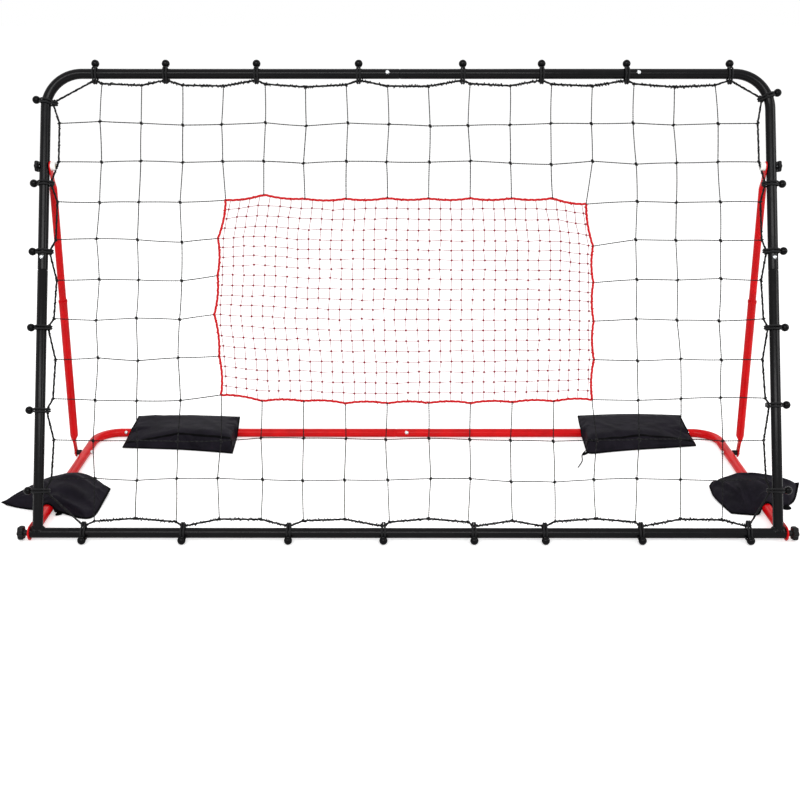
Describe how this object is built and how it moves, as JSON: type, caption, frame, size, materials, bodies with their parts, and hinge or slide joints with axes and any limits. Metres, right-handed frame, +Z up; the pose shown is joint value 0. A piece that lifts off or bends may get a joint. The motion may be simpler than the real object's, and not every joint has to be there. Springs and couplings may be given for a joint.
{
  "type": "soccer rebounder",
  "caption": "Leaning soccer rebounder: black tube frame with a bungee-hung net and red target panel, hinged on a red U-shaped base with side struts and weight bags.",
  "frame": {"origin": "on the ground, at the middle of the overall width and depth", "axes": "+X runs along the width to the right as seen from the kicking side, +Y to the rear bar, +Z up"},
  "size_m": [2.0688, 0.7732, 1.0936],
  "materials": {
    "frame_black": "gloss black powder coat",
    "base_red": "gloss red powder coat",
    "zinc_steel": "zinc plated",
    "knob_plastic": "moulded, satin",
    "bungee_rubber": "plastic ball on braided elastic cord",
    "net_black": "twisted black twine",
    "target_red": "twisted red twine",
    "bag_nylon": "matte woven nylon"
  },
  "bodies": {
    "base": {"base_arm_left": "base_red", "base_arm_right": "base_red", "rear_bar_left": "base_red", "rear_bar_right": "base_red", "strut_bolt_left": "zinc_steel", "strut_bolt_right": "zinc_steel", "front_bag_left": "bag_nylon", "front_bag_right": "bag_nylon", "rear_bag_left": "bag_nylon", "rear_bag_right": "bag_nylon", "bag_tie_cord": "bag_nylon"},
    "front_frame": {"lower_frame": "frame_black", "corner_tube_left": "frame_black", "corner_tube_right": "frame_black", "top_tube": "frame_black", "rebound_net": "net_black", "target_net": "target_red", "bungee_bottom_1": "bungee_rubber", "bungee_bottom_2": "bungee_rubber", "bungee_bottom_3": "bungee_rubber", "bungee_bottom_4": "bungee_rubber", "bungee_bottom_5": "bungee_rubber", "bungee_bottom_6": "bungee_rubber", "bungee_bottom_7": "bungee_rubber", "bungee_bottom_8": "bungee_rubber", "bungee_right_1": "bungee_rubber", "bungee_right_2": "bungee_rubber", "bungee_right_3": "bungee_rubber", "bungee_right_4": "bungee_rubber", "bungee_right_5": "bungee_rubber", "bungee_right_6": "bungee_rubber", "bungee_top_1": "bungee_rubber", "bungee_top_2": "bungee_rubber", "bungee_top_3": "bungee_rubber", "bungee_top_4": "bungee_rubber", "bungee_top_5": "bungee_rubber", "bungee_top_6": "bungee_rubber", "bungee_top_7": "bungee_rubber", "bungee_top_8": "bungee_rubber", "bungee_left_1": "bungee_rubber", "bungee_left_2": "bungee_rubber", "bungee_left_3": "bungee_rubber", "bungee_left_4": "bungee_rubber", "bungee_left_5": "bungee_rubber", "bungee_left_6": "bungee_rubber"},
    "strut_left": {"strut_lower_left": "base_red", "strut_upper_left": "base_red"},
    "strut_right": {"strut_lower_right": "base_red", "strut_upper_right": "base_red"},
    "corner_knob_left": {"corner_knob_left": "knob_plastic"},
    "corner_knob_right": {"corner_knob_right": "knob_plastic"},
    "strut_knob_left": {"strut_knob_left": "knob_plastic"},
    "strut_knob_right": {"strut_knob_right": "knob_plastic"},
    "button_upright_left": {"snap_button_upright_left": "zinc_steel"},
    "button_upright_right": {"snap_button_upright_right": "zinc_steel"},
    "button_top_left": {"snap_button_top_left": "zinc_steel"},
    "button_top_right": {"snap_button_top_right": "zinc_steel"},
    "button_base_left": {"snap_button_base_left": "zinc_steel"},
    "button_base_middle": {"snap_button_base_middle": "zinc_steel"},
    "button_base_right": {"snap_button_base_right": "zinc_steel"}
  },
  "joints": [
    {"name": "frame_fold", "type": "hinge", "parent": "base", "child": "front_frame", "pos_m": [0, -0.35199, 0.0185], "axis": [-1, 0, 0], "range_deg": [0, 36]},
    {"name": "strut_fold_left", "type": "hinge", "parent": "base", "child": "strut_left", "pos_m": [-0.945, 0.15301, 0.01388], "axis": [-1, 0, 0], "range_deg": [0, 90]},
    {"name": "strut_fold_right", "type": "hinge", "parent": "base", "child": "strut_right", "pos_m": [0.945, 0.15301, 0.01388], "axis": [-1, 0, 0], "range_deg": [0, 90]},
    {"name": "corner_knob_turn_left", "type": "hinge", "parent": "front_frame", "child": "corner_knob_left", "pos_m": [-0.9234, -0.35199, 0.0185], "axis": [-1, 0, 0], "continuous": true},
    {"name": "corner_knob_turn_right", "type": "hinge", "parent": "front_frame", "child": "corner_knob_right", "pos_m": [0.9234, -0.35199, 0.0185], "axis": [1, 0, 0], "continuous": true},
    {"name": "strut_knob_turn_left", "type": "hinge", "parent": "front_frame", "child": "strut_knob_left", "pos_m": [-0.9153, 0.01651, 0.84617], "axis": [-1, 0, 0], "continuous": true},
    {"name": "strut_knob_turn_right", "type": "hinge", "parent": "front_frame", "child": "strut_knob_right", "pos_m": [0.9153, 0.01651, 0.84617], "axis": [1, 0, 0], "continuous": true},
    {"name": "press_upright_left", "type": "slide", "parent": "front_frame", "child": "button_upright_left", "axis": [0, 0.9135, -0.4067], "range_m": [0, 0.0045], "stiffness_N_per_m": 900},
    {"name": "press_upright_right", "type": "slide", "parent": "front_frame", "child": "button_upright_right", "axis": [0, 0.9135, -0.4067], "range_m": [0, 0.0045], "stiffness_N_per_m": 900},
    {"name": "press_top_left", "type": "slide", "parent": "front_frame", "child": "button_top_left", "axis": [0, 0.9135, -0.4067], "range_m": [0, 0.0045], "stiffness_N_per_m": 900},
    {"name": "press_top_right", "type": "slide", "parent": "front_frame", "child": "button_top_right", "axis": [0, 0.9135, -0.4067], "range_m": [0, 0.0045], "stiffness_N_per_m": 900},
    {"name": "press_base_left", "type": "slide", "parent": "base", "child": "button_base_left", "axis": [0, 0.9063, -0.4226], "range_m": [0, 0.0045], "stiffness_N_per_m": 900},
    {"name": "press_base_middle", "type": "slide", "parent": "base", "child": "button_base_middle", "axis": [0, 0.9063, -0.4226], "range_m": [0, 0.0045], "stiffness_N_per_m": 900},
    {"name": "press_base_right", "type": "slide", "parent": "base", "child": "button_base_right", "axis": [0, 0.9063, -0.4226], "range_m": [0, 0.0045], "stiffness_N_per_m": 900}
  ],
  "couplings": [
    {"joint": "strut_fold_left", "follows": "frame_fold", "ratio": 2.5},
    {"joint": "strut_fold_right", "follows": "frame_fold", "ratio": 2.5}
  ]
}
